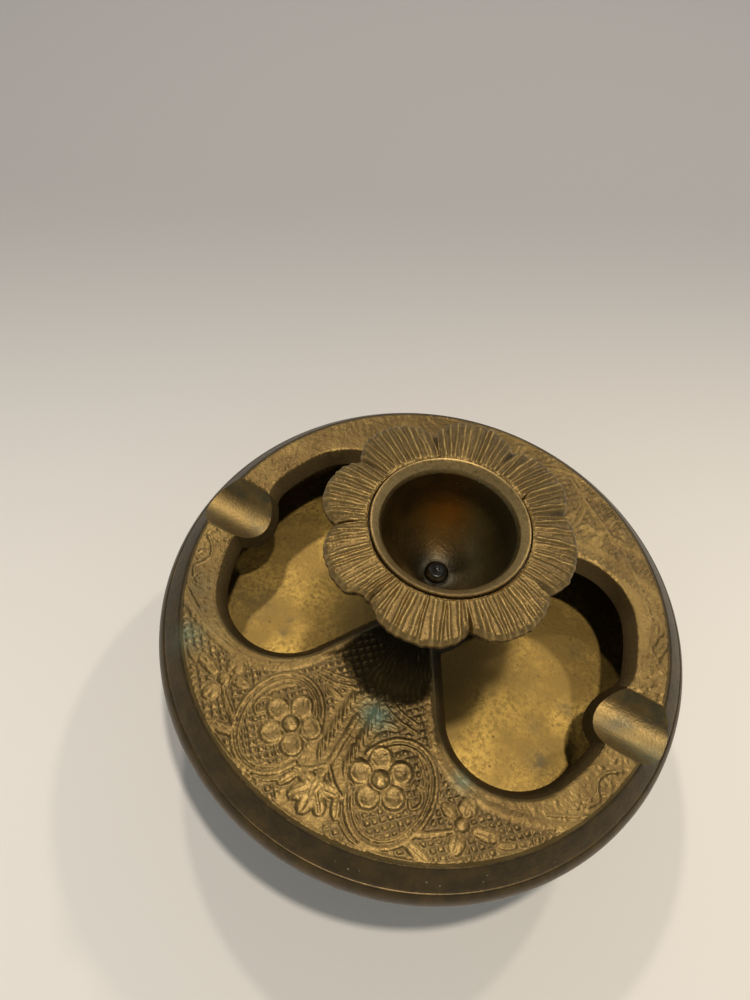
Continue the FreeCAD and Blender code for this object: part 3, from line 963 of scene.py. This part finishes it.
def makeLid(shape, look):
    lid = makeLidSolid(shape)
    loops = clearTop(lid, shape)
    solid = placesOf(lid.data.vertices)
    edge = solid[np.concatenate(loops)]
    gapTo = gapFinder(edge)
    x, y = topGrid(shape)
    keep = gapTo(x, y) > shape["topStep"] * 0.6
    rim = [Vector((p[0], p[1])) for p in edge]
    inner = [Vector((a, b)) for a, b in zip(x[keep], y[keep])]
    links, start = [], 0
    for loop in loops:
        count = len(loop)
        links += [(start + i, start + (i + 1) % count) for i in range(count)]
        start += count
    flat, _, faces, *_ = delaunay_2d_cdt(rim + inner, links, [], 2, 1e-7)
    px = np.array([p.x for p in flat])
    py = np.array([p.y for p in flat])
    rimGap = shape["edgeRadius"] - np.hypot(px, py)
    height, wear, cut = ornamentHeights(px, py, gapTo(px, py), rimGap, look)
    top = meshPiece("lid_top", np.stack([px, py, shape["top"] + height], 1), faces)
    print("lid top:", len(flat), "points,", len(faces), "faces")
    setPaint(lid, "wear", np.zeros(len(solid)))
    setPaint(lid, "cut", np.zeros(len(solid)))
    setPaint(top, "wear", wear)
    setPaint(top, "cut", cut)
    makeActive(lid)
    top.select_set(True)
    bpy.ops.object.join()
    tidyMesh(lid, 50)
    return lid


# Marks: where wear, dirt, stains and painted shade lie. A soft spot is its place, half width, half depth
# and strength.
def softSpot(x, y, mark):
    markX, markY, wide, deep, strength = mark
    return strength * np.exp(-(((x - markX) / wide) ** 2 + ((y - markY) / deep) ** 2))


def softSpots(x, y, marks):
    return np.max([softSpot(x, y, mark) for mark in marks], axis=0)


bowlMarks = {
    # dirt here is painted shadow of the lotus and stem: the floor darkens towards the middle
    "insideRise": 6, "insideRadius": 50.7, "dirtAndShade": 0.88, "hubShadeFrom": 13, "hubShadeTo": 29,
    "smudgesAndShade": [
        (34.8, -11.9, 2.0, 2.0, 0.95), (35.3, 1.4, 1.5, 1.5, 0.7), (32.4, 14.8, 1.6, 1.6, 0.6),
        (31, -6, 1.2, 1.2, 0.5), (-25.6, -15.9, 1.0, 1.0, 0.8), (-25.7, -12.6, 1.0, 1.0, 0.7),
        (-36, -12, 6.0, 6.0, 0.4),
    # this wide spot paints shade over the left of the floor
    ],
}


def paintBowl(bowl, shape, marks):
    x, y, z = placesOf(bowl.data.vertices).T
    fromMiddle = np.hypot(x, y)
    low = (z > shape["floor"] - 0.1) & (z < shape["floor"] + marks["insideRise"])
    setPaint(bowl, "inside", low & (fromMiddle < marks["insideRadius"]))
    # painted shadow of the lotus and stem, darker towards the middle of the floor
    setPaint(bowl, "dirtAndShade", marks["dirtAndShade"] * (1 - smooth(fromMiddle, marks["hubShadeFrom"], marks["hubShadeTo"])))
    # stains, and painted shade over the left of the floor
    setPaint(bowl, "stainAndShade", softSpots(x, y, marks["smudgesAndShade"]))


cupMarks = {
    "below": 66, "scorchAt": (-3.2, 9.0, 54.5), "scorchSpread": 30,
    "oliveTowards": (0.86, 0.5), "oliveFrom": 2.5, "oliveTo": 8,
    "bottom": 60, "grimeAndShade": 0.85, "grimeAndShadeFrom": 3.5, "grimeAndShadeTo": 8.0,
    "residue": 0.22, "residueFrom": 2.4, "residueTo": 4.2,
}


def paintCup(cup, shape, marks):
    places = placesOf(cup.data.vertices)
    x, y, z = places.T
    fromMiddle = np.hypot(x, y)
    inside = z < marks["below"]
    bottom = z < marks["bottom"]
    setPaint(cup, "lip", smooth(z, shape["mouth"] - 0.4, shape["mouth"] + 0.3))
    scorch = ((places - marks["scorchAt"]) ** 2).sum(1)
    setPaint(cup, "amber", np.exp(-scorch / marks["scorchSpread"]) * inside)
    olive = marks["oliveTowards"][0] * x + marks["oliveTowards"][1] * y
    setPaint(cup, "olive", smooth(olive, marks["oliveFrom"], marks["oliveTo"]) * inside)
    grimeAndShade = 1 - smooth(fromMiddle, marks["grimeAndShadeFrom"], marks["grimeAndShadeTo"])
    setPaint(cup, "grimeAndShade", marks["grimeAndShade"] * grimeAndShade * bottom)
    residue = 1 - smooth(fromMiddle, marks["residueFrom"], marks["residueTo"])
    setPaint(cup, "residue", marks["residue"] * residue * bottom)


lidMarks = {
    # on the lid, grime is painted shade: the top darkens towards the stem, under the lotus
    "grimeAndShade": 0.85, "grimeAndShadeFrom": 13, "grimeAndShadeTo": 22,
    "verdigris": [
        (2.8, -26.5, 2.7, 2.3, 1.0), (22.0, -28.4, 1.8, 1.8, 0.45), (-36.4, -32.2, 3.0, 3.0, 0.4),
    ],
    "restVerdigris": (53, -5, 4, 3.5, 0.3),
    "tarnishAndShade": [(-41, -26, 9, 10, 0.75), (22, -28, 4, 4, 0.6)],
    "restShade": 0.15, "farShade": 0.85, "nearShade": 0.65, "restFrom": 37,
    "flecksAt": 24, "flecksWide": 20, "flecksBefore": -30,
}


def paintLid(lid, shape, marks):
    # hard-edged paints tell the worked top, the rests and the openings' walls apart
    x, y, z = placesOf(lid.data.polygons, "center").T
    fromAxis = np.hypot(y - shape["restOffset"], z - shape["grooveAxis"])
    inRest = (np.abs(fromAxis - shape["grooveRadius"]) < 0.05) & (np.abs(x) > shape["tongueTip"] - 4)
    onTop = z > shape["top"] - 0.001
    inner = (np.hypot(x, y) < shape["spigotInner"] - 1) & (z > shape["under"] - 3)
    setFacePaint(lid, "face", onTop | inRest)
    setFacePaint(lid, "rest", inRest)
    setFacePaint(lid, "wall", inner & ~onTop)

    x, y, z = placesOf(lid.data.vertices).T
    # painted shade under the lotus: the top darkens towards the stem
    grimeAndShade = 1 - smooth(np.hypot(x, y), marks["grimeAndShadeFrom"], marks["grimeAndShadeTo"])
    setPaint(lid, "grimeAndShade", marks["grimeAndShade"] * grimeAndShade)
    # painted shade darkens each rest, its far side most, and the right one has a green outer end
    acrossRest = y - shape["restOffset"]
    fromAxis = np.hypot(acrossRest, z - shape["grooveAxis"])
    inRest = np.abs(fromAxis - shape["grooveRadius"]) < 0.05
    green = softSpots(x, y, marks["verdigris"]) + inRest * softSpot(x, y, marks["restVerdigris"])
    setPaint(lid, "green", green)
    shade = marks["restShade"] + marks["farShade"] * smooth(acrossRest, 0.6, 4.0)
    shade = shade + marks["nearShade"] * smooth(-acrossRest, 0.8, 3.4)
    shade = shade * inRest * (np.abs(x) > marks["restFrom"])
    # tarnish spots, and the painted shade of the rests
    setPaint(lid, "tarnishAndShade", np.maximum(softSpots(x, y, marks["tarnishAndShade"]), shade))
    onFlank = (z < shape["top"]) & (y < marks["flecksBefore"])
    setPaint(lid, "flecks", onFlank * np.exp(-((x - marks["flecksAt"]) / marks["flecksWide"]) ** 2))


# Finishes: each look gives the grain in millimetres, the metal's gloss and the depth of its bump
def patina(finish):
    # dark brown of the outside
    return finish.blend(finish.noise(4, 5, 0.7).ramp(0.3, 0.75) * 0.6, brass["dark"], brass["brown"])


lidLook = {"cloud": 11, "grain": 0.55, "metallic": 0.92, "roughness": 0.42, "bump": 0.13}


def lidFinish(look):
    finish = Finish("lid_brass")
    wear, tarnishAndShade, rest = finish.paint("wear"), finish.paint("tarnishAndShade"), finish.paint("rest")
    cloud = finish.noise(look["cloud"], 4).ramp(0.35, 0.68)
    grain = finish.noise(look["grain"], 3)
    ground = finish.blend(cloud, brass["brown"], brass["ground"])
    tone = finish.blend((wear + (grain - 0.5) * 0.9).ramp(0.05, 1.1), ground, brass["chased"])
    tone = finish.blend(finish.paint("cut") * (0.4 + grain * 0.6), tone, brass["dark"])
    # tarnish, and painted shade in the rests
    tone = finish.blend(tarnishAndShade * finish.noise(3, 4).ramp(0.3, 0.7), tone, brass["tarnishAndShade"])
    side = finish.blend(finish.paint("wall"), patina(finish), brass["wall"])
    tone = finish.blend(finish.paint("face"), side, tone)
    # painted shade under the lotus, in the soot tone, weaker on the raised work
    tone = finish.blend(finish.paint("grimeAndShade") * (1 - wear * 0.7), tone, brass["sootAndShade"])
    patch = finish.noise(5, 4, stretch=(0.6, 1, 1)).ramp(0.28, 0.55)
    rubbed = finish.blend(patch, brass["grey"], brass["bright"])
    tone = finish.blend(rest * (1 - tarnishAndShade), tone, rubbed)
    green = finish.paint("green") * (finish.noise(1.3, 4).ramp(0.25, 0.65) * 0.6 + 0.4)
    tone = finish.blend(green, tone, brass["verdigris"])
    flecks = finish.specks(1.5).ramp(0.14, 0.08) * finish.noise(6).ramp(0.5, 0.6) * finish.paint("flecks")
    finish.join("Base Color", finish.blend(flecks, tone, brass["dust"]))
    finish.join("Metallic", look["metallic"] - green * 0.85)
    finish.join("Roughness", look["roughness"] - wear * 0.06 + rest * 0.04 + (grain - 0.5) * 0.25)
    finish.bump(grain * 0.55 + finish.noise(1.5, 4) * 0.45, look["bump"])
    return finish


lotusLook = {"cast": 3.5, "grain": 0.5, "metallic": 0.9, "roughness": 0.43, "bump": 0.2}


def lotusFinish(look):
    finish = Finish("lotus_brass")
    worn = finish.paint("worn")
    grain = finish.noise(look["grain"], 3)
    cast = finish.noise(look["cast"], 4)
    tone = finish.blend((worn + (grain - 0.5) * 0.5).ramp(0.0, 0.75), brass["dark"], brass["gold"])
    rubbed = (worn + (cast - 0.5) * 0.6 + (grain - 0.5) * 0.5).ramp(0.7, 1.2)
    finish.join("Base Color", finish.blend(rubbed, tone, brass["bright"]))
    finish.join("Metallic", look["metallic"])
    finish.join("Roughness", look["roughness"] + (grain - 0.5) * 0.25)
    finish.bump(grain * 0.6 + finish.noise(1.2, 4) * 0.4, look["bump"])
    return finish


bowlLook = {"cloud": 12, "grain": 0.6, "metallic": 0.92, "roughness": 0.39, "bump": 0.02}


def bowlFinish(look):
    finish = Finish("bowl_brass")
    inside = finish.paint("inside")
    grain = finish.noise(look["grain"], 3)
    pits = finish.specks(0.8).ramp(0.34, 0.16) * finish.noise(3.5).ramp(0.42, 0.62) * 0.6
    pits = pits.math("MAXIMUM", finish.specks(4.3).ramp(0.1, 0.05) * 0.8)
    cloud = finish.noise(look["cloud"], 5).ramp(0.36, 0.66)
    floor = finish.blend(cloud, brass["floorWorn"], brass["floor"])
    floor = finish.blend(finish.noise(0.9, 4, 0.7).ramp(0.35, 0.6), brass["floorWorn"], floor)
    floor = finish.blend(pits, floor, brass["brown"])
    # painted shadow of the lotus and stem near the middle of the floor
    floor = finish.blend(finish.paint("dirtAndShade"), floor, brass["dirtAndShade"])
    # stains, and painted shade over the left of the floor
    stainAndShade = finish.paint("stainAndShade") * finish.noise(1.6, 4).ramp(0.2, 0.6)
    floor = finish.blend(stainAndShade, floor, brass["smudgeAndShade"])
    finish.join("Base Color", finish.blend(inside, patina(finish), floor))
    finish.join("Metallic", look["metallic"])
    finish.join("Roughness", look["roughness"] + inside * 0.07 + (grain - 0.5) * 0.2)
    finish.bump(grain, look["bump"])
    return finish


cupLook = {"cloud": 6, "grain": 0.6, "metallic": 0.92, "roughness": 0.4, "bump": 0.06}


def cupFinish(look):
    finish = Finish("cup_brass")
    lip = finish.paint("lip")
    grain = finish.noise(look["grain"], 3)
    cloud = finish.noise(look["cloud"], 4).ramp(0.35, 0.7)
    tone = finish.blend(cloud, brass["brown"], brass["gold"])
    tone = finish.blend(finish.paint("amber") * (0.5 + cloud * 0.5), tone, brass["amber"])
    tone = finish.blend(finish.paint("olive") * (0.6 + cloud * 0.4), tone, brass["olive"])
    tone = finish.blend(finish.paint("grimeAndShade"), tone, brass["sootAndShade"])
    lipTone = finish.blend(grain.ramp(0.2, 0.6), brass["ground"], brass["lip"])
    tone = finish.blend(lip, tone, lipTone)
    crust = finish.paint("residue") * finish.noise(1.2, 4).ramp(0.35, 0.62)
    tone = finish.blend(crust, tone, brass["residue"])
    flecks = finish.specks(1.3).ramp(0.15, 0.08) * finish.noise(5).ramp(0.5, 0.58) * (1 - lip)
    finish.join("Base Color", finish.blend(flecks, tone, brass["dust"]))
    finish.join("Metallic", look["metallic"])
    finish.join("Roughness", look["roughness"] + (grain - 0.5) * 0.2 + crust * 0.3)
    finish.bump(grain, look["bump"])
    return finish


def plainFinish(name, tone, roughness):
    finish = Finish(name)
    grain = finish.noise(0.8, 3)
    finish.join("Base Color", finish.blend(grain.ramp(0.3, 0.7), tone, tuple(c * 0.7 for c in tone)))
    finish.join("Metallic", 0.95)
    finish.join("Roughness", roughness + (grain - 0.5) * 0.15)
    return finish


bowl = makeBowl(bowlShape)
foot = makeFoot(footShape)
stem = makeStem(stemShape)
cup = makeCup(cupShape)
screw = makeScrew(screwShape)
print("turned pieces made")
lotus = makeLotus(lotusShape)
print("lotus made")
lid = makeLid(lidShape, ornament)
print("lid made")

paintBowl(bowl, bowlShape, bowlMarks)
paintCup(cup, cupShape, cupMarks)
paintLid(lid, lidShape, lidMarks)
print("marks painted")

bowlBrass, lotusBrass = bowlFinish(bowlLook), lotusFinish(lotusLook)
steel = plainFinish("screw_steel", brass["steel"], 0.3)
washerBrass = plainFinish("washer_brass", brass["brown"], 0.5)
pieces = [
    (bowl, "bowl", "bowl", "bowl_brass", bowlBrass),
    (foot, "bowl", "foot_ring", "bowl_brass", bowlBrass),
    (lid, "lid", "lid", "lid_brass", lidFinish(lidLook)),
    (stem, "lid", "stem", "lotus_brass", lotusBrass),
    (lotus, "lid", "lotus_flower", "lotus_brass", lotusBrass),
    (cup, "lid", "cup_liner", "cup_brass", cupFinish(cupLook)),
    (screw, "lid", "centre_screw", "screw_steel", steel),
]
for piece, body, node, slot, finish in pieces:
    finish.dress(piece)
    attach(piece, body)
    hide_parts(node)
for node, finish in (("lid_washer", washerBrass), ("hex_nut", steel)):
    finish.dress(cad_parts[node])
print("finishes on", len(pieces), "pieces")

# The table, the lamps and the camera
table = {
    # far is the painted shade the paper takes away from the lamps, along depth
    "size": 3.0, "near": (0.9, 0.85, 0.775), "warm": (0.92, 0.855, 0.75), "far": (0.42, 0.40, 0.385),
    "depth": (-0.54, 0.84, 0), "from": -0.03, "to": 0.20,
    "across": (0.84, 0.54, 0), "left": -0.08, "right": 0.08, "roughness": 0.8, "specular": 0.2,
}


def paperFinish(look):
    # pale paper, warmer to the right, with painted shade that darkens it away from the lamps
    finish = Finish("paper")
    dot = {"operation": "DOT_PRODUCT"}
    depth = finish.node("ShaderNodeVectorMath", dot, [finish.place(), look["depth"]], "Value")
    across = finish.node("ShaderNodeVectorMath", dot, [finish.place(), look["across"]], "Value")
    sheet = finish.blend(across.ramp(look["left"], look["right"]), look["near"], look["warm"])
    finish.join("Base Color", finish.blend(depth.ramp(look["from"], look["to"]), sheet, look["far"]))
    finish.join("Roughness", look["roughness"])
    finish.join("Specular IOR Level", look["specular"])
    return finish


bpy.ops.object.select_all(action="DESELECT")
bpy.ops.mesh.primitive_plane_add(size=table["size"], location=(0, 0, 0))
floor = bpy.context.object
floor.name = "floor"
paperFinish(table).dress(floor)

lampKind = {"away": 0.9, "size": 0.05, "tone": (1.0, 0.93, 0.84)}
lamps = {
    "lamp_far": {"towards": (6.92, 25.6, 29.5), "power": 1.25},
    "lamp_left": {"towards": (-14.8, 14.75, 29.5), "power": 1.4},
    "lamp_over": {"towards": (2.0, 0.5, 29.5), "power": 3.25},
}
for name, lamp in lamps.items():
    data = bpy.data.lights.new(name, "AREA")
    data.shape = "DISK"
    data.size = lampKind["size"]
    data.energy = lamp["power"]
    data.color = lampKind["tone"]
    made = bpy.data.objects.new(name, data)
    towards = Vector(lamp["towards"]).normalized()
    made.location = towards * lampKind["away"]
    made.rotation_euler = towards.to_track_quat("Z", "Y").to_euler()
    bpy.context.scene.collection.objects.link(made)

# pale walls all round and a dimmer ceiling
room = {"tone": (0.93, 0.98, 1.01, 1), "walls": 0.58, "ceiling": 0.06, "from": 0.50, "to": 0.85}
bpy.context.scene.world = bpy.data.worlds.new("room")
sky = Finish("room", bpy.context.scene.world, "Background")
outwards = sky.node("ShaderNodeTexCoord", {}, {}, "Generated")
rise = sky.node("ShaderNodeSeparateXYZ", {}, [outwards], "Z").ramp(room["from"], room["to"])
sky.join("Color", room["tone"])
sky.join("Strength", room["walls"] - rise * (room["walls"] - room["ceiling"]))

view = {
    "eye": (16.301, -70.606, 176.183), "right": (0.86311, 0.49954, 0.07416),
    "up": (-0.45123, 0.69687, 0.55746), "back": (0.22679, -0.51461, 0.82689),
    "lens": 27.036, "sensor": 36.0, "clip": 0.01,
}
cameraData = bpy.data.cameras.new("camera")
cameraData.lens = view["lens"]
cameraData.sensor_width = view["sensor"]
cameraData.clip_start = view["clip"]
camera = bpy.data.objects.new("camera", cameraData)
turnMatrix = Matrix((view["right"], view["up"], view["back"])).transposed()
camera.location = Vector(view["eye"]) * mm
camera.rotation_euler = turnMatrix.to_euler()
bpy.context.scene.collection.objects.link(camera)
bpy.context.scene.camera = camera
bpy.context.scene.view_settings.view_transform = "Standard"
print("stage, lamps and camera set")
